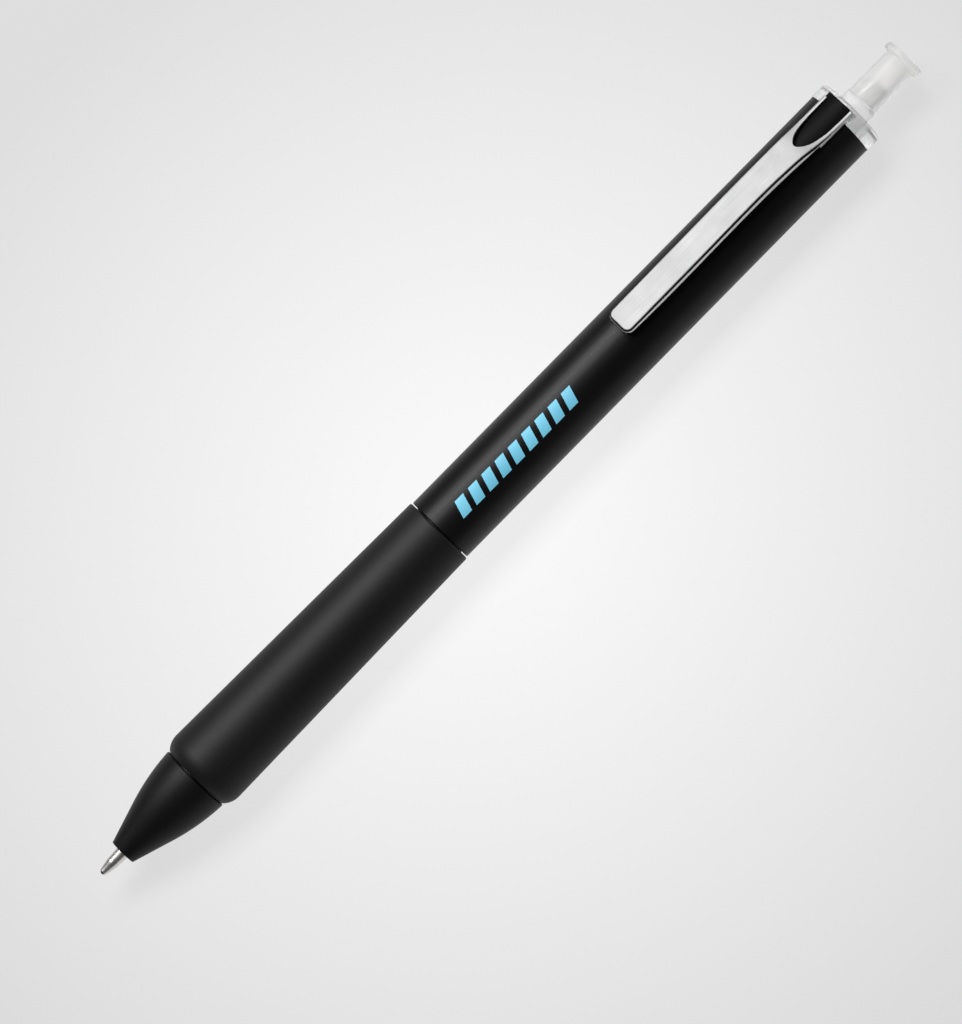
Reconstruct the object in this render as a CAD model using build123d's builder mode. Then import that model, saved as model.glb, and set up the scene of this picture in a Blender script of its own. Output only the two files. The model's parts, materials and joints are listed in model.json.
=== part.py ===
from build123d import *
import math
import os

# Retractable ballpoint pen, lying along X: writing tip at -X, push button at +X, pocket clip on top (+Z).
# All lengths are in millimetres. "Station" is the distance from the leading point of the ball, along +X,
# with the tip out. Radii are measured from the pen's axis, which runs at height AXIS_Z.

LENGTH = 143.3
X_TIP = -LENGTH / 2
AXIS_Z = 5.5

# Shell
NOSE_START = 3.8
NOSE_MOUTH_R = 1.78
NOSE_CONE_END = 9.2
NOSE_CONE_R = 3.46
NOSE_END = 16.75
NOSE_END_R = 4.78
NOSE_BORE_R = 1.0
NOSE_THROAT_R = 1.3
SPRING_SHOULDER = 8.0
SPRING_BORE_R = 2.1
SOCKET_START = 10.6
SOCKET_R = 3.2

GRIP_START = 16.95
GRIP_FACE_R = 4.7
GRIP_CREST = 18.9
GRIP_END = 60.15
GRIP_MAX_R = 5.5
GRIP_REAR_R = 4.92

BARREL_R = 4.77
BARREL_START = 60.3
BARREL_END = 131.5
SPIGOT_R = 3.85
NIPPLE_START = 11.0
NIPPLE_R = 2.9
THREAD_PITCH = 1.0
THREAD_DEPTH = 0.22
FRONT_BORE_R = 2.2
MIDDLE_BORE_R = 2.7
MAIN_BORE_R = 3.4
GUIDE_BORE_R = 3.9
GUIDE_START = 108.0

# Clip root
TONGUE_HALF = 1.73
TONGUE_END = 133.2
TONGUE_HEAD_START = 132.5
TONGUE_HEAD_SIDE = 2.2
SLOT_START = 127.0
SLOT_FRONT_Y = (1.75, 2.22)
SLOT_REAR_Y = (1.77, 2.23)
FIT = 0.02

# Collar
COLLAR_R = 4.84
COLLAR_END = 133.7
COLLAR_BORE_R = 2.4
SKIRT_START = 127.5
SKIRT_BORE_R = 2.9

# Click mechanism
GROOVE_R = 2.8
LAND_R = 2.4
LAND_FOOT = 115.6
LAND_TOP = 120.2
LAND_END = 126.0
LAND_LEFT = -39.5
LAND_RIGHT_FOOT = -1.5
LAND_RIGHT_TOP = 33.0
ROTOR_START = 107.05
ROTOR_END = 118.1
PLUNGER_START = 118.2
PLUNGER_R = 2.3
PLUNGER_SHOULDER = 135.4
RIB_R = 2.7

# Button
BUTTON_R = 2.14
BUTTON_RIM_R = 2.77
BUTTON_RIM_START = 142.35
BUTTON_WALL_R = 1.45

# Refill
BALL_R = 0.4
SHANK_R = 0.9
SHANK_STEP = 6.2
HOLDER_START = 9.5
FLANGE_START = 20.6
TUBE_START = 21.4
TUBE_END = 105.6
TUBE_R = 1.5
TUBE_BORE_R = 1.05
SPRING_MEAN_R = 1.77
SPRING_WIRE_R = 0.17
SPRING_TURNS = 9

AXIS = Axis((X_TIP, 0, AXIS_Z), (1, 0, 0))
PROFILE = Plane(origin=(X_TIP, 0, AXIS_Z), x_dir=(1, 0, 0), z_dir=(0, -1, 0))
PLAN = Plane(origin=(X_TIP, 0, AXIS_Z), x_dir=(1, 0, 0), z_dir=(0, 0, 1))

os.makedirs("parts", exist_ok=True)


def section(station):
    """Plane across the pen at a station: local x is +Y, local y is up."""
    return Plane(origin=(X_TIP + station, 0, AXIS_Z), x_dir=(0, 1, 0), z_dir=(1, 0, 0))


def polar(radius, degrees):
    """Point in a cross-section, measured from +Y towards +Z."""
    turn = math.radians(degrees)
    return (radius * math.cos(turn), radius * math.sin(turn))


def turned(*outline, mode=Mode.ADD):
    """Turn a closed outline of (station, radius) points about the pen's axis."""
    with BuildSketch(PROFILE) as profile:
        with BuildLine():
            Polyline(*outline, close=True)
        make_face()
    revolve(profile.sketch, axis=AXIS, mode=mode)


def sector(station, inner, outer, start, end):
    """Ring sector between two radii and two angles, in the cross-section at a station."""
    middle = (start + end) / 2
    with BuildSketch(section(station)) as ring:
        with BuildLine():
            ThreePointArc(polar(outer, start), polar(outer, middle), polar(outer, end))
            Line(polar(outer, end), polar(inner, end))
            ThreePointArc(polar(inner, end), polar(inner, middle), polar(inner, start))
            Line(polar(inner, start), polar(outer, start))
        make_face()
    return ring.sketch


def teeth(count, station, depth, width, slant):
    """Cut notches across an end face. Depth is along +X when positive."""
    for k in range(count):
        turn = math.radians(360 * k / count)
        outward = (0, math.cos(turn), math.sin(turn))
        across = (0, -math.sin(turn), math.cos(turn))
        plane = Plane(origin=(X_TIP + station, 0, AXIS_Z), x_dir=across, z_dir=outward)
        with BuildSketch(plane) as notch:
            with BuildLine():
                Polyline((-width / 2, 0), (slant * width / 2, depth), (width / 2, 0), close=True)
            make_face()
        extrude(notch.sketch, amount=GROOVE_R + 1, mode=Mode.SUBTRACT)


# Writing ball
with BuildPart() as writing_ball:
    with Locations((X_TIP + BALL_R, 0, AXIS_Z)):
        Sphere(BALL_R)
writing_ball.part.label = "writing ball"
export_step(writing_ball.part, "parts/writing_ball.step")

# Metal point: cone with a rolled lip round the ball, stepped shank, spigot and ink channel
with BuildPart() as tip_socket:
    turned(
        (0.23, 0),
        (0.23, 0.44),
        (0.34, 0.5),
        (1.9, 0.8),
        (4.0, SHANK_R),
        (SHANK_STEP, SHANK_R),
        (SHANK_STEP + 0.15, 1.15),
        (HOLDER_START, 1.15),
        (HOLDER_START, 0.8),
        (13.0, 0.8),
        (13.0, 0),
    )
    with Locations((X_TIP + BALL_R, 0, AXIS_Z)):
        Sphere(BALL_R + 0.012, mode=Mode.SUBTRACT)
    turned((0.5, 0), (0.5, 0.16), (2.2, 0.16), (2.6, 0.45), (13.5, 0.45), (13.5, 0), mode=Mode.SUBTRACT)
tip_socket.part.label = "tip socket"
export_step(tip_socket.part, "parts/tip_socket.step")

# Plastic holder: sleeve for the point's spigot, spring flange, plug for the ink tube, four shallow flutes
with BuildPart() as tip_holder:
    turned(
        (HOLDER_START, 0.82),
        (HOLDER_START, 1.3),
        (HOLDER_START + 0.3, 1.45),
        (FLANGE_START, 1.45),
        (FLANGE_START, 1.9),
        (TUBE_START, 1.9),
        (TUBE_START, TUBE_BORE_R - 0.01),
        (25.0, TUBE_BORE_R - 0.01),
        (25.4, 0.85),
        (25.4, 0.6),
        (13.2, 0.6),
        (13.2, 0.82),
    )
    for k in range(4):
        flute = sector(12.0, 1.3, 1.7, 90 * k - 12, 90 * k + 12)
        extrude(flute, amount=7.0, mode=Mode.SUBTRACT)
tip_holder.part.label = "tip holder"
export_step(tip_holder.part, "parts/tip_holder.step")

# Ink tube
with BuildPart() as ink_tube:
    turned((TUBE_START, TUBE_BORE_R), (TUBE_START, TUBE_R), (TUBE_END, TUBE_R), (TUBE_END, TUBE_BORE_R))
ink_tube.part.label = "ink tube"
export_step(ink_tube.part, "parts/ink_tube.step")

# Ink, with the slightly hollow meniscus at its back
with BuildPart() as ink_column:
    turned((25.45, 0), (25.45, TUBE_BORE_R - 0.02), (88.0, TUBE_BORE_R - 0.02), (87.6, 0.5), (87.5, 0))
ink_column.part.label = "ink column"
export_step(ink_column.part, "parts/ink_column.step")

# Grease follower behind the ink
with BuildPart() as grease_follower:
    turned((87.55, 0), (87.65, 0.5), (88.05, TUBE_BORE_R - 0.02), (91.0, TUBE_BORE_R - 0.02), (90.7, 0))
grease_follower.part.label = "grease follower"
export_step(grease_follower.part, "parts/grease_follower.step")

# Vented plug at the back of the refill
with BuildPart() as refill_end_plug:
    turned(
        (103.0, 0.3),
        (103.0, 0.85),
        (103.4, TUBE_BORE_R - 0.01),
        (TUBE_END, TUBE_BORE_R - 0.01),
        (TUBE_END, TUBE_R),
        (106.8, TUBE_R),
        (107.0, 1.3),
        (107.0, 0.3),
    )
    with Locations((X_TIP + 107.0, 0, AXIS_Z)):
        Box(0.6, 3.4, 0.4, mode=Mode.SUBTRACT)
refill_end_plug.part.label = "refill end plug"
export_step(refill_end_plug.part, "parts/refill_end_plug.step")

# Return spring between the nose cone's shoulder and the holder's flange
SPRING_FRONT = SPRING_SHOULDER + SPRING_WIRE_R + 0.01
SPRING_LENGTH = FLANGE_START - SPRING_WIRE_R - 0.01 - SPRING_FRONT
with BuildPart() as return_spring:
    with BuildLine() as coil:
        Helix(
            pitch=SPRING_LENGTH / SPRING_TURNS,
            height=SPRING_LENGTH,
            radius=SPRING_MEAN_R,
            center=(X_TIP + SPRING_FRONT, 0, AXIS_Z),
            direction=(1, 0, 0),
        )
    with BuildSketch(Plane(origin=coil.line @ 0, z_dir=coil.line % 0)):
        Circle(SPRING_WIRE_R)
    sweep(path=coil.line, is_frenet=True)
return_spring.part.label = "return spring"
export_step(return_spring.part, "parts/return_spring.step")

# Nose cone: straight cone, blending into a tangent arc; stepped bore
with BuildPart() as nose_cone:
    with BuildSketch(PROFILE) as nose_profile:
        with BuildLine():
            Polyline(
                (NOSE_START, NOSE_BORE_R),
                (NOSE_START, NOSE_MOUTH_R),
                (NOSE_CONE_END, NOSE_CONE_R),
            )
            TangentArc(
                (NOSE_CONE_END, NOSE_CONE_R),
                (NOSE_END - 0.1, NOSE_END_R),
                tangent=(NOSE_CONE_END - NOSE_START, NOSE_CONE_R - NOSE_MOUTH_R),
            )
            Polyline(
                (NOSE_END - 0.1, NOSE_END_R),
                (NOSE_END, NOSE_END_R - 0.1),
                (NOSE_END, SOCKET_R),
                (SOCKET_START, SOCKET_R),
                (SOCKET_START, SPRING_BORE_R),
                (SPRING_SHOULDER, SPRING_BORE_R),
                (SPRING_SHOULDER, NOSE_THROAT_R),
                (4.7, NOSE_THROAT_R),
                (4.6, NOSE_BORE_R),
                (NOSE_START, NOSE_BORE_R),
            )
        make_face()
        mouth = (X_TIP + NOSE_START, 0, AXIS_Z + NOSE_MOUTH_R)
        mouth_edge = nose_profile.vertices().sort_by_distance(mouth)[0]
        fillet(mouth_edge, 0.18)
    revolve(axis=AXIS)
nose_cone.part.label = "nose cone"
export_step(nose_cone.part, "parts/nose_cone.step")

# Grip sleeve: full rounded nose, long straight taper
with BuildPart() as grip_sleeve:
    with BuildSketch(PLAN):
        with BuildLine():
            Line((GRIP_START, SPIGOT_R + FIT), (GRIP_START, GRIP_FACE_R))
            TangentArc((GRIP_CREST, GRIP_MAX_R), (GRIP_START, GRIP_FACE_R), tangent=(-1, 0))
            Line((GRIP_CREST, GRIP_MAX_R), (GRIP_END - 0.25, GRIP_REAR_R))
            ThreePointArc(
                (GRIP_END - 0.25, GRIP_REAR_R),
                (GRIP_END - 0.075, GRIP_REAR_R - 0.075),
                (GRIP_END, GRIP_REAR_R - 0.25),
            )
            Line((GRIP_END, GRIP_REAR_R - 0.25), (GRIP_END, SPIGOT_R + FIT))
            Line((GRIP_END, SPIGOT_R + FIT), (GRIP_START, SPIGOT_R + FIT))
        make_face()
    revolve(axis=AXIS)
grip_sleeve.part.label = "grip sleeve"
export_step(grip_sleeve.part, "parts/grip_sleeve.step")

# Barrel: nipple with a screw thread, spigot under the grip, tube, tongue between the clip's arms
with BuildPart() as barrel:
    turned(
        (NIPPLE_START, FRONT_BORE_R),
        (NIPPLE_START, NIPPLE_R - 0.2),
        (NIPPLE_START + 0.2, NIPPLE_R),
        (NOSE_END, NIPPLE_R),
        (NOSE_END, SPIGOT_R),
        (BARREL_START, SPIGOT_R),
        (BARREL_START, BARREL_R - 0.12),
        (BARREL_START + 0.12, BARREL_R),
        (BARREL_END, BARREL_R),
        (BARREL_END, GUIDE_BORE_R),
        (GUIDE_START, GUIDE_BORE_R),
        (GUIDE_START, MAIN_BORE_R),
        (62.0, MAIN_BORE_R),
        (60.5, MIDDLE_BORE_R),
        (25.0, MIDDLE_BORE_R),
        (24.0, FRONT_BORE_R),
    )
    with BuildLine() as thread_path:
        Helix(
            pitch=THREAD_PITCH,
            height=4.6,
            radius=NIPPLE_R,
            center=(X_TIP + 11.6, 0, AXIS_Z),
            direction=(1, 0, 0),
        )
    with BuildSketch(Plane(origin=thread_path.line @ 0, x_dir=(1, 0, 0), z_dir=thread_path.line % 0)):
        with BuildLine():
            Polyline((-0.35, -0.08), (-0.08, THREAD_DEPTH), (0.08, THREAD_DEPTH), (0.35, -0.08), close=True)
        make_face()
    sweep(path=thread_path.line, is_frenet=True)
    # Tongue, with a hook at its end behind the +Y arm
    for start, left in ((BARREL_END - 0.5, TONGUE_HALF), (TONGUE_HEAD_START, TONGUE_HEAD_SIDE)):
        with BuildSketch(section(start)):
            Circle(BARREL_R)
            Circle(GUIDE_BORE_R, mode=Mode.SUBTRACT)
            with Locations(((left - TONGUE_HALF) / 2, BARREL_R)):
                Rectangle(left + TONGUE_HALF, 2 * BARREL_R, mode=Mode.INTERSECT)
        extrude(amount=TONGUE_END - start)
    # Slots for the clip's arms
    for side in (-1, 1):
        with BuildSketch(PLAN.offset(2.8)):
            with BuildLine():
                Polyline(
                    (SLOT_START, side * SLOT_FRONT_Y[0]),
                    (BARREL_END, side * SLOT_REAR_Y[0]),
                    (TONGUE_HEAD_START, side * TONGUE_HALF),
                    (TONGUE_HEAD_START, side * SLOT_REAR_Y[1]),
                    (BARREL_END, side * SLOT_REAR_Y[1]),
                    (SLOT_START, side * SLOT_FRONT_Y[1]),
                    close=True,
                )
            make_face()
        extrude(amount=3, mode=Mode.SUBTRACT)
barrel.part.label = "barrel"
export_step(barrel.part, "parts/barrel.step")

# Cam guide: sleeve with four lands whose lower ends are the click ramps
with BuildPart() as cam_guide:
    turned(
        (GUIDE_START + 0.02, GROOVE_R),
        (GUIDE_START + 0.02, GUIDE_BORE_R - FIT),
        (SKIRT_START - 0.1, GUIDE_BORE_R - FIT),
        (SKIRT_START - 0.1, GROOVE_R),
    )
    for k in range(4):
        turn = 90 * k
        middle_right = (LAND_RIGHT_FOOT + LAND_RIGHT_TOP) / 2
        ramp = [
            sector(LAND_FOOT, LAND_R, 3.3, turn + LAND_LEFT, turn + LAND_RIGHT_FOOT),
            sector((LAND_FOOT + LAND_TOP) / 2, LAND_R, 3.3, turn + LAND_LEFT, turn + middle_right),
            sector(LAND_TOP, LAND_R, 3.3, turn + LAND_LEFT, turn + LAND_RIGHT_TOP),
        ]
        loft(ramp, ruled=True)
        land = sector(LAND_TOP, LAND_R, 3.3, turn + LAND_LEFT, turn + LAND_RIGHT_TOP)
        extrude(land, amount=LAND_END - LAND_TOP)
    turned((108.0, 0), (108.0, LAND_R), (128.0, LAND_R), (128.0, 0), mode=Mode.SUBTRACT)
cam_guide.part.label = "cam guide"
export_step(cam_guide.part, "parts/cam_guide.step")

# Rotor cam: stem on the refill, four ribs, toothed crown
with BuildPart() as rotor_cam:
    turned(
        (ROTOR_START, 0),
        (ROTOR_START, 1.45),
        (110.2, 1.45),
        (111.0, 2.0),
        (ROTOR_END, 2.0),
        (ROTOR_END, 1.35),
        (112.6, 1.35),
        (112.2, 0),
    )
    for k in range(4):
        rib = sector(112.0, 1.8, RIB_R, 90 * k, 90 * k + 14)
        extrude(rib, amount=3.5)
    teeth(8, ROTOR_END, -0.7, 1.5, 0.8)
rotor_cam.part.label = "rotor cam"
export_step(rotor_cam.part, "parts/rotor_cam.step")

# Plunger: toothed crown, four guide ribs, pilot into the rotor, stem into the button
with BuildPart() as plunger_cam:
    turned(
        (PLUNGER_START, 0),
        (PLUNGER_START, PLUNGER_R),
        (PLUNGER_SHOULDER - 0.1, PLUNGER_R),
        (PLUNGER_SHOULDER, PLUNGER_R - 0.1),
        (PLUNGER_SHOULDER, 1.43),
        (138.3, 1.43),
        (138.5, 1.2),
        (138.5, 0),
    )
    teeth(8, PLUNGER_START, 0.8, 1.6, 0.8)
    turned((113.0, 0), (113.0, 1.0), (113.3, 1.2), (120.0, 1.2), (120.0, 0))
    for k in range(4):
        rib = sector(119.5, 2.1, RIB_R, 90 * k + 38, 90 * k + 48)
        extrude(rib, amount=5.5)
plunger_cam.part.label = "plunger cam"
export_step(plunger_cam.part, "parts/plunger_cam.step")

# Push button: hollow frosted cap with a rounded rim
with BuildPart() as button:
    with BuildSketch(PROFILE):
        with BuildLine():
            Polyline(
                (LENGTH, 0),
                (LENGTH, BUTTON_RIM_R - 0.3),
            )
            ThreePointArc(
                (LENGTH, BUTTON_RIM_R - 0.3),
                (LENGTH - 0.088, BUTTON_RIM_R - 0.088),
                (LENGTH - 0.3, BUTTON_RIM_R),
            )
            Polyline(
                (LENGTH - 0.3, BUTTON_RIM_R),
                (BUTTON_RIM_START + 0.15, BUTTON_RIM_R),
                (BUTTON_RIM_START, BUTTON_RIM_R - 0.15),
                (BUTTON_RIM_START, BUTTON_R + 0.12),
                (BUTTON_RIM_START - 0.12, BUTTON_R),
                (PLUNGER_SHOULDER + 0.02, BUTTON_R),
                (PLUNGER_SHOULDER + 0.02, BUTTON_WALL_R),
                (141.7, BUTTON_WALL_R),
                (142.0, 1.15),
                (142.0, 0),
                (LENGTH, 0),
            )
        make_face()
    revolve(axis=AXIS)
button.part.label = "push button"
export_step(button.part, "parts/button.step")

# Clear collar: flange seen behind the barrel, skirt inside it, notch for the tongue and the arms
with BuildPart() as collar:
    with BuildSketch(PLAN):
        with BuildLine():
            Line((COLLAR_END, COLLAR_BORE_R), (COLLAR_END, COLLAR_R - 0.45))
            ThreePointArc(
                (COLLAR_END, COLLAR_R - 0.45),
                (COLLAR_END - 0.132, COLLAR_R - 0.132),
                (COLLAR_END - 0.45, COLLAR_R),
            )
            Polyline(
                (COLLAR_END - 0.45, COLLAR_R),
                (BARREL_END + 0.02, COLLAR_R),
                (BARREL_END + 0.02, GUIDE_BORE_R - FIT),
                (SKIRT_START, GUIDE_BORE_R - FIT),
                (SKIRT_START, SKIRT_BORE_R),
                (BARREL_END - 0.4, SKIRT_BORE_R),
                (BARREL_END, COLLAR_BORE_R),
                (COLLAR_END, COLLAR_BORE_R),
            )
        make_face()
    revolve(axis=AXIS)
    with BuildSketch(section(BARREL_END)):
        Circle(BARREL_R + 1)
        Circle(GUIDE_BORE_R - FIT, mode=Mode.SUBTRACT)
        with Locations((0, BARREL_R)):
            Rectangle(2 * SLOT_REAR_Y[1], 2 * BARREL_R, mode=Mode.INTERSECT)
    extrude(amount=TONGUE_END + FIT - BARREL_END, mode=Mode.SUBTRACT)
collar.part.label = "end collar"
export_step(collar.part, "parts/collar.step")

# Pocket clip: sheet tray with flared sides, a rounded free end and two arms round a U-shaped opening
CLIP_SHEET = 0.38
CLIP_WALL = 0.4
CLIP_FREE_END = 93.75
CLIP_ROOT_END = 133.1
SHORT_ARM_END = 132.4
CLIP_BEND = 0.36
OPENING_APEX = 125.1
FLARE_FOOT = 5.1
FLARE_TOP = 6.9
FLARE_INSET = 0.45
CREST = [(100.0, 6.02), (110.0, 6.18), (116.0, 6.27), (120.0, 6.2), (122.5, 6.03), (125.0, 5.74)]
CREST_ROOT = [(127.0, 5.28), (129.0, 4.95), (131.0, 4.82)]
FREE_END_HEIGHT = 5.93
ROOT_HEIGHT = 4.78
FOOT = [(110.0, 5.5), (120.0, 5.45), (124.0, 5.2)]
ARM_FRONT = 127.3
ARM_FRONT_HEIGHT = 4.85
ARM_BOTTOM = 3.55
HALF_WIDTH = [(110.0, 2.17), (122.5, 2.19), (127.0, 2.2), (131.0, 2.2)]
FREE_END_HALF = 2.08
ROOT_HALF = 2.2


def clip_side(drop, inset):
    """Side outline of the clip, lowered by drop and shortened by inset at the free end."""
    front = CLIP_FREE_END + inset
    with BuildSketch(PROFILE.offset(-4)) as side:
        with BuildLine():
            Spline(
                (front, FREE_END_HEIGHT - drop),
                *[(s, z - drop) for s, z in CREST + CREST_ROOT],
                (CLIP_ROOT_END + inset, ROOT_HEIGHT - drop),
            )
            Polyline(
                (CLIP_ROOT_END + inset, ROOT_HEIGHT - drop),
                (CLIP_ROOT_END + inset, ARM_BOTTOM - drop),
                (ARM_FRONT, ARM_BOTTOM - drop),
                (ARM_FRONT, ARM_FRONT_HEIGHT - drop),
            )
            Spline(
                (ARM_FRONT, ARM_FRONT_HEIGHT - drop),
                *[(s, z - drop) for s, z in reversed(FOOT)],
                (front, FOOT[0][1] - drop),
            )
            Line((front, FOOT[0][1] - drop), (front, FREE_END_HEIGHT - drop))
        make_face()
    return side.sketch


def clip_plan(height, inset, corner):
    """Plan outline of the clip at a height, narrowed by inset, with rounded corners at the free end."""
    front = CLIP_FREE_END + inset
    half = FREE_END_HALF - inset
    with BuildSketch(PLAN.offset(height)) as plan:
        with BuildLine():
            for side in (-1, 1):
                Spline(
                    (front, side * half),
                    *[(s, side * (y - inset)) for s, y in HALF_WIDTH],
                    (CLIP_ROOT_END + inset, side * (ROOT_HALF - inset)),
                )
            Line((front, -half), (front, half))
            Line((CLIP_ROOT_END + inset, inset - ROOT_HALF), (CLIP_ROOT_END + inset, ROOT_HALF - inset))
        make_face()
        fillet(plan.vertices().group_by(Axis.X)[0], corner)
    return plan.sketch


def clip_blank(wall, sheet):
    """Solid clip: sides flared above FLARE_FOOT, upright below it, cut to the side outline."""
    foot = clip_plan(FLARE_FOOT, wall, 1.1 - wall)
    top = clip_plan(FLARE_TOP, wall + FLARE_INSET, 1.1 - wall - FLARE_INSET)
    loft([foot, top], ruled=True)
    extrude(foot, amount=-3)
    extrude(clip_side(sheet, wall), amount=8, mode=Mode.INTERSECT)


with BuildPart() as clip_hollow:
    clip_blank(CLIP_WALL, CLIP_SHEET)

with BuildPart() as clip:
    clip_blank(0, 0)
    crest_edges = clip.faces().sort_by(Axis.Z)[-1].edges()
    fillet(crest_edges.filter_by(lambda e: e.center().X < X_TIP + 126), CLIP_BEND)
    add(clip_hollow.part, mode=Mode.SUBTRACT)
    # U-shaped opening between the arms
    with BuildSketch(PLAN):
        with BuildLine():
            Spline(
                (129.0, -1.73), (127.0, -1.42), (125.6, -0.75), (OPENING_APEX, 0),
                (125.6, 0.75), (127.0, 1.42), (129.0, 1.73),
            )
            Polyline(
                (129.0, 1.73), (131.0, 1.79), (134.0, 1.8),
                (134.0, -1.8), (131.0, -1.79), (129.0, -1.73),
            )
        make_face()
    extrude(amount=8, mode=Mode.SUBTRACT)
    # The +Y arm stops short, in front of the tongue's hook
    with Locations((X_TIP + SHORT_ARM_END + 1, 2, AXIS_Z + 4)):
        Box(2, 3, 3, mode=Mode.SUBTRACT)
clip.part.label = "pocket clip"
export_step(clip.part, "parts/clip.step")
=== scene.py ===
import json
import math

import bmesh
import bpy
from mathutils import Matrix, Vector


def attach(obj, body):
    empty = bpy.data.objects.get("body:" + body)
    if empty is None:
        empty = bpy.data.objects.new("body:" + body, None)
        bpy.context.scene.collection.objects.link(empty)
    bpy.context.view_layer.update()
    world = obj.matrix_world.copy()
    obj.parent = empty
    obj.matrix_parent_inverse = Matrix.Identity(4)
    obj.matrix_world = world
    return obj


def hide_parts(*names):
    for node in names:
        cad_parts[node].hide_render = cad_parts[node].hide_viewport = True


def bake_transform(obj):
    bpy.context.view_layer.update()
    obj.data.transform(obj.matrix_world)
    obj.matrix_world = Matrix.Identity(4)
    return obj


# Looks for the retractable ballpoint pen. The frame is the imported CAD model: the pen lies along X with
# its writing tip at -X, its clip at +Z and its axis 5.5 mm above the floor. Blender's lengths are in
# metres. A station is a place along the pen, in mm from the leading point of the ball.

MM = 0.001
TIP_X = -71.65 * MM
AXIS_Z = 5.5 * MM
BARREL_R = 4.77 * MM

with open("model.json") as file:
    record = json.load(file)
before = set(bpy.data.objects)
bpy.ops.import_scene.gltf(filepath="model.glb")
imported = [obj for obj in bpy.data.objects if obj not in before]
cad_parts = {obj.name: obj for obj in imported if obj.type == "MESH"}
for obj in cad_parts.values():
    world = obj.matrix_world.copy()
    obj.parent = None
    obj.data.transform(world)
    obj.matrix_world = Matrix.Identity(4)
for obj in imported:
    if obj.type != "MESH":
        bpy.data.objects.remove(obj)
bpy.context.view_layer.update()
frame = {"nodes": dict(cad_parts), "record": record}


# ---------------------------------------------------------------- materials

SLOW_SCALE = 120
WAVE_SCALE = 260
STAIN_SCALE = 220
FLOW_SCALE = 400
HAZE_SCALE = 5000
SOFT_START = 0.3 * MM
SOFT_EDGE = 0.1 * MM
# Upward parts of the normal that bound the clip's flat web and its flared sides, where its painted shade
# and painted reflection go.
WEB_TILT = (0.88, 0.97)
SIDE_TILT = (0.3, 0.42)


def new_material(name, **sockets):
    """A Principled material. Constants are set on the shader's own sockets."""
    material = bpy.data.materials.new(name)
    material.use_nodes = True
    shader = material.node_tree.nodes["Principled BSDF"]
    for socket, value in sockets.items():
        shader.inputs[socket.replace("_", " ")].default_value = value
    return material, shader


def add_node(material, kind, **settings):
    """Adds a node. Settings named after its inputs are their values, the rest are its properties."""
    node = material.node_tree.nodes.new(kind)
    for key, value in settings.items():
        if key in node.inputs:
            node.inputs[key].default_value = value
        else:
            setattr(node, key, value)
    return node


def link(material, source, target):
    material.node_tree.links.new(source, target)


def object_coordinates(material, stretch=(1, 1, 1)):
    """Object coordinates, scaled along each axis, so that a texture can be drawn out along one."""
    coordinates = add_node(material, "ShaderNodeTexCoord")
    mapping = add_node(material, "ShaderNodeMapping", Scale=stretch)
    link(material, coordinates.outputs["Object"], mapping.inputs["Vector"])
    return mapping.outputs["Vector"]


def noise(material, vector, scale, detail=3.0, roughness=0.55):
    node = add_node(material, "ShaderNodeTexNoise", Scale=scale, Detail=detail, Roughness=roughness)
    link(material, vector, node.inputs["Vector"])
    return node.outputs["Fac"]


def spread(material, value, low, high, start=0.3, end=0.7):
    """Maps the middle of a noise's range onto low..high."""
    node = add_node(material, "ShaderNodeMapRange")
    node.inputs["From Min"].default_value = start
    node.inputs["From Max"].default_value = end
    node.inputs["To Min"].default_value = low
    node.inputs["To Max"].default_value = high
    link(material, value, node.inputs["Value"])
    return node.outputs["Result"]


def two_tone(material, value, dark, light):
    """Colours the middle of a noise's range from dark to light."""
    ramp = add_node(material, "ShaderNodeValToRGB")
    ramp.color_ramp.elements[0].position = 0.3
    ramp.color_ramp.elements[0].color = (*dark, 1)
    ramp.color_ramp.elements[1].position = 0.7
    ramp.color_ramp.elements[1].color = (*light, 1)
    link(material, value, ramp.inputs["Fac"])
    return ramp.outputs["Color"]


def add_bump(material, shader, height, strength, distance, under=None):
    """Bump from a height, laid over another bump's normal if one is given."""
    bump = add_node(material, "ShaderNodeBump", Strength=strength, Distance=distance)
    link(material, height, bump.inputs["Height"])
    if under is not None:
        link(material, under, bump.inputs["Normal"])
    link(material, bump.outputs["Normal"], shader.inputs["Normal"])
    return bump.outputs["Normal"]


def moulded(name, dark, light, rough, grain, depth, flow=(1, 1, 1), **sockets):
    """Moulded plastic or rubber: fine surface grain, slow changes of gloss and tone."""
    material, shader = new_material(name, **sockets)
    vector = object_coordinates(material, flow)
    slow = noise(material, vector, SLOW_SCALE)
    fine = noise(material, vector, 1 / grain, detail=5.0, roughness=0.65)
    link(material, two_tone(material, slow, dark, light), shader.inputs["Base Color"])
    link(material, spread(material, fine, rough[0], rough[1]), shader.inputs["Roughness"])
    waves = noise(material, vector, WAVE_SCALE, detail=1.0)
    broad = add_bump(material, shader, waves, 0.12, 0.02 * MM)
    add_bump(material, shader, fine, 0.5, depth, under=broad)
    return material


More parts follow.
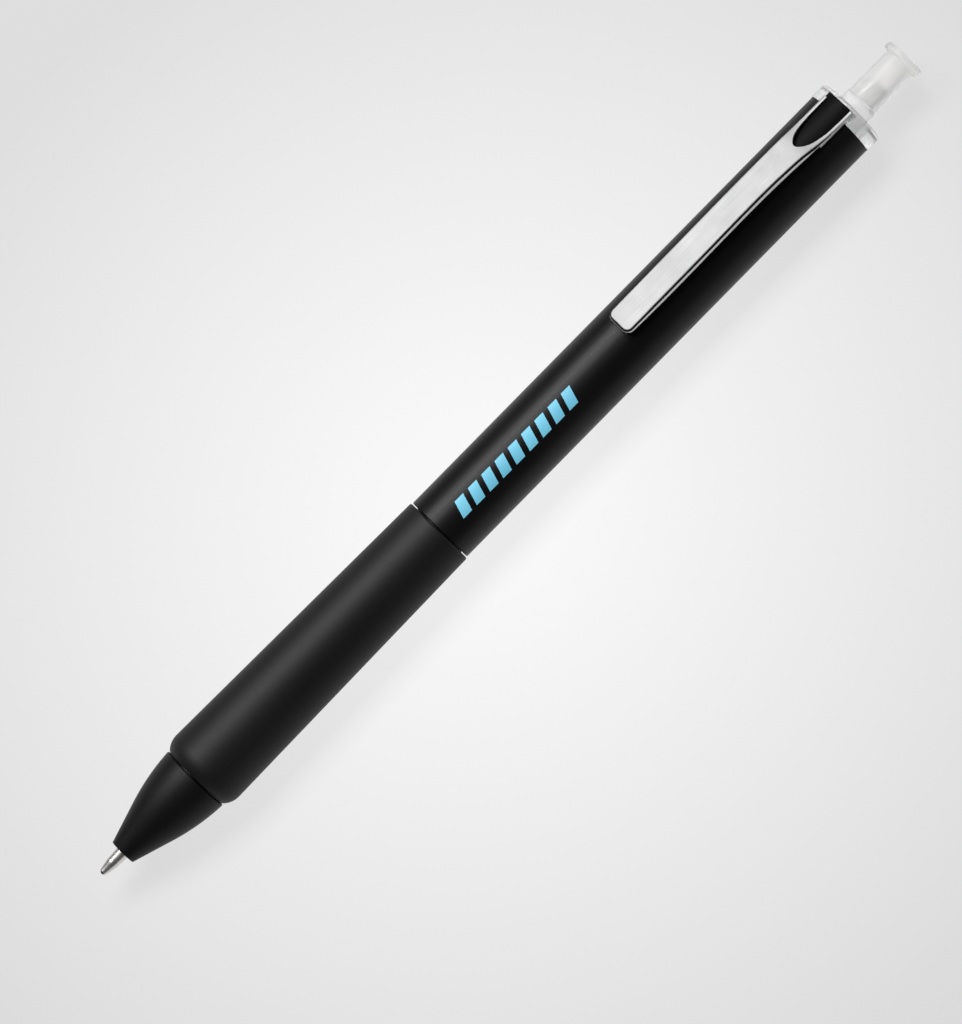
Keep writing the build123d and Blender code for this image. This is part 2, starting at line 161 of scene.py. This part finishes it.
def matte_patch(material, start, end, half_width, gloss, dull):
    """Lowers the gloss of a moulded surface in a strip on top of the pen, between two stations."""
    shader = material.node_tree.nodes["Principled BSDF"]
    split = add_node(material, "ShaderNodeSeparateXYZ")
    link(material, object_coordinates(material), split.inputs[0])
    offset = add_node(material, "ShaderNodeMath", operation="ABSOLUTE")
    link(material, split.outputs["Y"], offset.inputs[0])
    first = TIP_X + start * MM
    last = TIP_X + end * MM
    side = half_width * MM
    after_start = spread(material, split.outputs["X"], 0.0, 1.0, start=first, end=first + SOFT_START)
    before_end = spread(material, split.outputs["X"], 1.0, 0.0, start=last - SOFT_EDGE, end=last)
    across = spread(material, offset.outputs[0], 1.0, 0.0, start=side, end=side + SOFT_EDGE)
    above = spread(material, split.outputs["Z"], 0.0, 1.0, start=AXIS_Z, end=AXIS_Z + 1 * MM)
    mask = after_start
    for factor in (before_end, across, above):
        product = add_node(material, "ShaderNodeMath", operation="MULTIPLY")
        link(material, mask, product.inputs[0])
        link(material, factor, product.inputs[1])
        mask = product.outputs[0]
    level = spread(material, mask, gloss, dull, start=0.0, end=1.0)
    link(material, level, shader.inputs["Specular IOR Level"])


def brushed(name, dark, light, rough, stretch, relief=0.35, **sockets):
    """Metal with fine lines drawn out along one direction."""
    material, shader = new_material(name, Metallic=1.0, **sockets)
    vector = object_coordinates(material, stretch)
    lines = noise(material, vector, 1.0, detail=6.0, roughness=0.7)
    stains = noise(material, object_coordinates(material), STAIN_SCALE, detail=2.0)
    link(material, two_tone(material, lines, dark, light), shader.inputs["Base Color"])
    link(material, spread(material, stains, rough[0], rough[1]), shader.inputs["Roughness"])
    add_bump(material, shader, lines, relief, 0.004 * MM)
    return material


def steel_with_painted_light(name, dark, light, rough, stretch, painted_bend_shade, painted_side_reflection):
    """Brushed sheet with painted light: a satin flat web, flared sides painted much lighter than the web
    as a painted reflection, though the clip is one steel, and a dark painted shade line along the bend.

    The upward part of the normal tells them apart: above WEB_TILT is the web, below SIDE_TILT the sides.
    """
    material = brushed(name, dark, light, rough, stretch)
    shader = material.node_tree.nodes["Principled BSDF"]
    colour = shader.inputs["Base Color"].links[0].from_socket
    # The world-space normal places the painted light and shade, so they shift over the clip when it is
    # turned.
    geometry = add_node(material, "ShaderNodeNewGeometry")
    split = add_node(material, "ShaderNodeSeparateXYZ")
    link(material, geometry.outputs["Normal"], split.inputs[0])
    off_web = spread(material, split.outputs["Z"], 1.0, 0.0, start=WEB_TILT[0], end=WEB_TILT[1])
    off_sides = spread(material, split.outputs["Z"], 0.0, 1.0, start=SIDE_TILT[0], end=SIDE_TILT[1])
    on_sides = spread(material, split.outputs["Z"], 1.0, 0.0, start=SIDE_TILT[0], end=SIDE_TILT[1])
    # Painted shade: where the sheet turns from the web to the sides, the colour is mixed towards a dark
    # painted shade line.
    bend = add_node(material, "ShaderNodeMath", operation="MULTIPLY")
    link(material, off_web, bend.inputs[0])
    link(material, off_sides, bend.inputs[1])
    mix = add_node(material, "ShaderNodeMix", data_type="RGBA")
    link(material, bend.outputs[0], mix.inputs["Factor"])
    link(material, colour, mix.inputs[6])
    mix.inputs[7].default_value = (*painted_bend_shade, 1)
    # Painted reflection: the flared sides are mixed towards a colour much lighter than the web.
    sides = add_node(material, "ShaderNodeMix", data_type="RGBA")
    link(material, on_sides, sides.inputs["Factor"])
    link(material, mix.outputs[2], sides.inputs[6])
    sides.inputs[7].default_value = (*painted_side_reflection, 1)
    link(material, sides.outputs[2], shader.inputs["Base Color"])
    return material


def see_through(name, tint_dark, tint_light, rough, ripple=0.15, **sockets):
    """Clear or frosted plastic with faint flow marks from moulding."""
    material, shader = new_material(name, **sockets)
    vector = object_coordinates(material, (0.4, 1, 1))
    slow = noise(material, vector, FLOW_SCALE, detail=2.0)
    fine = noise(material, vector, HAZE_SCALE, detail=3.0)
    link(material, two_tone(material, slow, tint_dark, tint_light), shader.inputs["Base Color"])
    link(material, spread(material, fine, rough[0], rough[1]), shader.inputs["Roughness"])
    add_bump(material, shader, slow, ripple, 0.02 * MM)
    return material


LINES_ALONG = (60, 9000, 9000)
LATHE_RINGS = (14000, 120, 120)
DRAWN_WIRE = (900, 900, 900)
GROUND_BALL = (3000, 3000, 3000)

looks = {
    "black_plastic": moulded(
        "satin_black_plastic", (0.0022, 0.0022, 0.0024), (0.0035, 0.0035, 0.0038), (0.36, 0.46),
        0.16 * MM, 0.006 * MM, flow=(0.5, 1, 1), IOR=1.49, Specular_IOR_Level=0.2,
    ),
    "nose_plastic": moulded(
        "satin_black_nose", (0.0022, 0.0022, 0.0024), (0.0035, 0.0035, 0.0038), (0.44, 0.54),
        0.16 * MM, 0.006 * MM, flow=(0.5, 1, 1), IOR=1.49, Specular_IOR_Level=0.2,
    ),
    "grip_rubber": moulded(
        "soft_touch_rubber", (0.003, 0.003, 0.0032), (0.0045, 0.0045, 0.0048), (0.5, 0.62),
        0.11 * MM, 0.012 * MM, IOR=1.5, Specular_IOR_Level=0.24, Sheen_Weight=0.02, Sheen_Roughness=0.5,
    ),
    # The clip's steel carries painted light: a dark painted shade line along the bend and a painted
    # reflection that lightens the flared sides.
    "clip_steel": steel_with_painted_light(
        "brushed_steel_with_painted_light", (0.28, 0.28, 0.283), (0.34, 0.34, 0.343), (0.61, 0.65), LINES_ALONG,
        painted_bend_shade=(0.02, 0.02, 0.022), painted_side_reflection=(0.8, 0.8, 0.805),
    ),
    "spring_steel": brushed(
        "spring_wire", (0.5, 0.5, 0.52), (0.64, 0.64, 0.66), (0.2, 0.3), DRAWN_WIRE,
    ),
    "point_metal": brushed(
        "turned_nickel_silver", (0.66, 0.64, 0.62), (0.78, 0.76, 0.74), (0.3, 0.38), LATHE_RINGS,
        relief=0.06,
    ),
    "ball_metal": brushed(
        "ink_wet_carbide", (0.02, 0.02, 0.022), (0.05, 0.05, 0.055), (0.12, 0.2), GROUND_BALL,
    ),
    "clear_plastic": see_through(
        "clear_plastic", (0.95, 0.955, 0.96), (0.98, 0.98, 0.985), (0.14, 0.22),
        ripple=0.06, Transmission_Weight=0.82, IOR=1.35,
    ),
    "frosted_plastic": see_through(
        "frosted_plastic", (0.965, 0.96, 0.955), (0.985, 0.98, 0.975), (0.28, 0.36),
        ripple=0.04, Transmission_Weight=0.9, IOR=1.28,
    ),
    "plunger_plastic": see_through(
        "translucent_plunger", (0.96, 0.96, 0.965), (0.98, 0.98, 0.985), (0.4, 0.5),
        ripple=0.04, Transmission_Weight=0.8, IOR=1.2,
    ),
    "tube_plastic": see_through(
        "refill_tube", (0.85, 0.87, 0.9), (0.92, 0.94, 0.96), (0.15, 0.25),
        Transmission_Weight=0.9, IOR=1.49,
    ),
    "grease": see_through(
        "grease_follower", (0.85, 0.78, 0.55), (0.92, 0.86, 0.66), (0.1, 0.2),
        Transmission_Weight=0.8, IOR=1.47,
    ),
}

# Moulded pieces inside the barrel.
for slot, shade in {
    "cam_plastic": (0.74, 0.74, 0.72),
    "rotor_plastic": (0.66, 0.66, 0.66),
    "holder_plastic": (0.76, 0.76, 0.76),
    "plug_plastic": (0.74, 0.74, 0.75),
}.items():
    darker = tuple(0.92 * c for c in shade)
    looks[slot] = moulded("natural_" + slot, darker, shade, (0.4, 0.52), 0.15 * MM, 0.006 * MM)
looks["ink"] = moulded(
    "wet_ink", (0.004, 0.004, 0.005), (0.008, 0.008, 0.01), (0.08, 0.14), 0.3 * MM, 0.002 * MM,
)

# The tongue between the clip's arms is duller than the rest of the barrel.
matte_patch(looks["black_plastic"], start=124.5, end=133.3, half_width=1.78, gloss=0.2, dull=0.03)

slot_of = {part["node"]: part["material_slot"] for part in frame["record"]["subparts"]}
for node_name, node_object in frame["nodes"].items():
    for material_slot in node_object.material_slots:
        material_slot.material = looks[slot_of[node_name]]


# ---------------------------------------------------------------- print on the barrel

PRINT_ANGLE = math.radians(22)
PRINT_START = 63.4
PRINT_HEIGHT = 2.3
PRINT_LIFT = 0.012 * MM
DASH = 1.5
DASH_GAP = 0.85
DASH_SLANT = 0.7
DASHES = 9
DASH_STEPS = 6


def on_barrel(station, across, lift):
    """Point on the barrel: station along the pen, arc length in mm across the print's centre line."""
    turn = PRINT_ANGLE - across * MM / BARREL_R
    radius = BARREL_R + lift
    return Vector((TIP_X + station * MM, -radius * math.sin(turn), AXIS_Z + radius * math.cos(turn)))


def printed_dashes():
    """A row of slanted dashes: thin ink patches that follow the barrel's curve, half sunk into it."""
    mesh = bmesh.new()
    for k in range(DASHES):
        begin = PRINT_START + k * (DASH + DASH_GAP)
        rows = []
        for j in range(DASH_STEPS + 1):
            across = PRINT_HEIGHT * (j / DASH_STEPS - 0.5)
            shift = DASH_SLANT * j / DASH_STEPS
            rows.append([
                [mesh.verts.new(on_barrel(begin + shift + end, across, lift)) for end in (0, DASH)]
                for lift in (-PRINT_LIFT, PRINT_LIFT)
            ])
        for low, high in zip(rows, rows[1:]):
            mesh.faces.new((low[1][0], low[1][1], high[1][1], high[1][0]))
            mesh.faces.new((low[0][0], high[0][0], high[0][1], low[0][1]))
            mesh.faces.new((low[0][0], low[1][0], high[1][0], high[0][0]))
            mesh.faces.new((low[0][1], high[0][1], high[1][1], low[1][1]))
        for row in (rows[0], rows[-1]):
            mesh.faces.new((row[0][0], row[0][1], row[1][1], row[1][0]))
    bmesh.ops.recalc_face_normals(mesh, faces=mesh.faces)
    data = bpy.data.meshes.new("print_dashes")
    mesh.to_mesh(data)
    mesh.free()
    piece = bpy.data.objects.new("print_dashes", data)
    bpy.context.scene.collection.objects.link(piece)
    return piece


dashes = printed_dashes()
dashes.data.materials.append(
    moulded(
        "light_blue_ink", (0.14, 0.48, 0.66), (0.18, 0.56, 0.74), (0.4, 0.55), 0.12 * MM, 0.004 * MM,
    )
)
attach(dashes, "barrel")


# ---------------------------------------------------------------- return spring

COIL_R = 1.77
WIRE_R = 0.17
COIL_FRONT = 8.18
COIL_REAR = 20.42
DEAD_PITCH = 0.4
COIL_TURNS = 9
COIL_STEPS = 32
WIRE_SIDES = 10


def coil_station(turn):
    """Station of the wire's centre line: nearly closed end coils, evenly open ones between them."""
    if turn < 1:
        return COIL_FRONT + DEAD_PITCH * turn
    if turn > COIL_TURNS - 1:
        return COIL_REAR - DEAD_PITCH * (COIL_TURNS - turn)
    open_length = COIL_REAR - COIL_FRONT - 2 * DEAD_PITCH
    return COIL_FRONT + DEAD_PITCH + open_length * (turn - 1) / (COIL_TURNS - 2)


def spring_coil():
    """Round wire wound round the refill's holder."""
    mesh = bmesh.new()
    rings = []
    for j in range(COIL_TURNS * COIL_STEPS + 1):
        turn = j / COIL_STEPS
        angle = 2 * math.pi * turn
        outward = Vector((0, math.cos(angle), math.sin(angle)))
        centre = Vector((TIP_X + coil_station(turn) * MM, 0, AXIS_Z)) + outward * COIL_R * MM
        ring = []
        for k in range(WIRE_SIDES):
            side = 2 * math.pi * k / WIRE_SIDES
            offset = outward * math.cos(side) + Vector((1, 0, 0)) * math.sin(side)
            ring.append(mesh.verts.new(centre + offset * WIRE_R * MM))
        rings.append(ring)
    for near, far in zip(rings, rings[1:]):
        for k in range(WIRE_SIDES):
            n = (k + 1) % WIRE_SIDES
            mesh.faces.new((near[k], near[n], far[n], far[k]))
    mesh.faces.new(rings[0])
    mesh.faces.new(rings[-1])
    bmesh.ops.recalc_face_normals(mesh, faces=mesh.faces)
    for face in mesh.faces:
        face.smooth = len(face.verts) == 4
    data = bpy.data.meshes.new("spring_coil")
    mesh.to_mesh(data)
    mesh.free()
    piece = bpy.data.objects.new("spring_coil", data)
    bpy.context.scene.collection.objects.link(piece)
    return piece


spring = spring_coil()
spring.data.materials.append(looks["spring_steel"])
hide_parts("return_spring")
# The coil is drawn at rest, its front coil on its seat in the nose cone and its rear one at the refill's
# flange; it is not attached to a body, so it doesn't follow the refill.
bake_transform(spring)


# ---------------------------------------------------------------- camera

VIEW_ELEVATION = math.radians(68)
VIEW_ROLL = math.radians(45.46)
LENS = 200
SENSOR = 36
FRAME_HEIGHT = 128.0 * MM
AIM_STATION = 65.5
AIM_DROP = 2.1 * MM

towards_camera = Vector((0, -math.cos(VIEW_ELEVATION), math.sin(VIEW_ELEVATION)))
along_pen = Vector((1, 0, 0))
across_pen = towards_camera.cross(along_pen)
right = math.cos(VIEW_ROLL) * along_pen - math.sin(VIEW_ROLL) * across_pen
up = math.sin(VIEW_ROLL) * along_pen + math.cos(VIEW_ROLL) * across_pen
aim = Vector((TIP_X + AIM_STATION * MM, 0, AXIS_Z)) - AIM_DROP * across_pen

camera_data = bpy.data.cameras.new("camera")
camera_data.lens = LENS
camera_data.sensor_width = SENSOR
camera_data.clip_start = 0.01
camera_data.clip_end = 20
camera = bpy.data.objects.new("camera", camera_data)
bpy.context.scene.collection.objects.link(camera)
camera.location = aim + towards_camera * (FRAME_HEIGHT * LENS / SENSOR)
camera.rotation_mode = "QUATERNION"
camera.rotation_quaternion = Matrix((right, up, towards_camera)).transposed().to_quaternion()
bpy.context.scene.camera = camera


# ---------------------------------------------------------------- floor and light

FLOOR_HALF = 3.0
FLOOR_BASE = (0.075, 0.075, 0.0755, 1)
GLOW_CENTRE = 0.83
GLOW_EDGE = 0.61
GLOW_START = 0.012
GLOW_END = 0.088
FILL_LIGHT = 0.07
BACKDROP = 0.62

# The floor glows softly, brightest under the pen, so its tone doesn't depend on the light.
floor_data = bpy.data.meshes.new("floor")
floor_data.from_pydata(
    [(FLOOR_HALF * x, FLOOR_HALF * y, 0.0) for x, y in ((-1, -1), (1, -1), (1, 1), (-1, 1))],
    [], [(0, 1, 2, 3)],
)
floor = bpy.data.objects.new("floor", floor_data)
bpy.context.scene.collection.objects.link(floor)
floor_material, floor_shader = new_material("pale_floor", Roughness=0.9, Emission_Color=(1, 1, 1, 1))
floor_shader.inputs["Base Color"].default_value = FLOOR_BASE
floor_shader.inputs["Specular IOR Level"].default_value = 0.1
floor_place = object_coordinates(floor_material)
distance = add_node(floor_material, "ShaderNodeVectorMath", operation="LENGTH")
link(floor_material, floor_place, distance.inputs[0])
glow = spread(
    floor_material, distance.outputs["Value"], GLOW_CENTRE, GLOW_EDGE, start=GLOW_START, end=GLOW_END,
)
link(floor_material, glow, floor_shader.inputs["Emission Strength"])
floor.data.materials.append(floor_material)
floor.location.x = aim.x


def softbox(name, direction, distance, size_x, size_y, power):
    """A rectangular lamp that faces the origin, with its first side along the pen."""
    light_data = bpy.data.lights.new(name, "AREA")
    light_data.shape = "RECTANGLE"
    light_data.size = size_x
    light_data.size_y = size_y
    light_data.energy = power
    light = bpy.data.objects.new(name, light_data)
    bpy.context.scene.collection.objects.link(light)
    out = Vector(direction).normalized()
    light.location = out * distance
    side = Vector((1, 0, 0))
    side = (side - out * side.dot(out)).normalized()
    light.rotation_mode = "QUATERNION"
    light.rotation_quaternion = Matrix((side, out.cross(side), out)).transposed().to_quaternion()
    return light


softbox("key", (0.09, 0.39, 0.92), distance=0.7, size_x=0.6, size_y=0.3, power=8.0)

# The world is a dim fill light, and a pale backdrop where the camera sees past the floor.
world = bpy.data.worlds.new("studio")
world.use_nodes = True
background = world.node_tree.nodes["Background"]
background.inputs["Color"].default_value = (1.0, 1.0, 1.0, 1)
ray = world.node_tree.nodes.new("ShaderNodeLightPath")
strength = world.node_tree.nodes.new("ShaderNodeMapRange")
strength.inputs["To Min"].default_value = FILL_LIGHT
strength.inputs["To Max"].default_value = BACKDROP
world.node_tree.links.new(ray.outputs["Is Camera Ray"], strength.inputs["Value"])
world.node_tree.links.new(strength.outputs["Result"], background.inputs["Strength"])
bpy.context.scene.world = world
bpy.context.scene.view_settings.view_transform = "Standard"
bpy.context.scene.view_settings.look = "None"
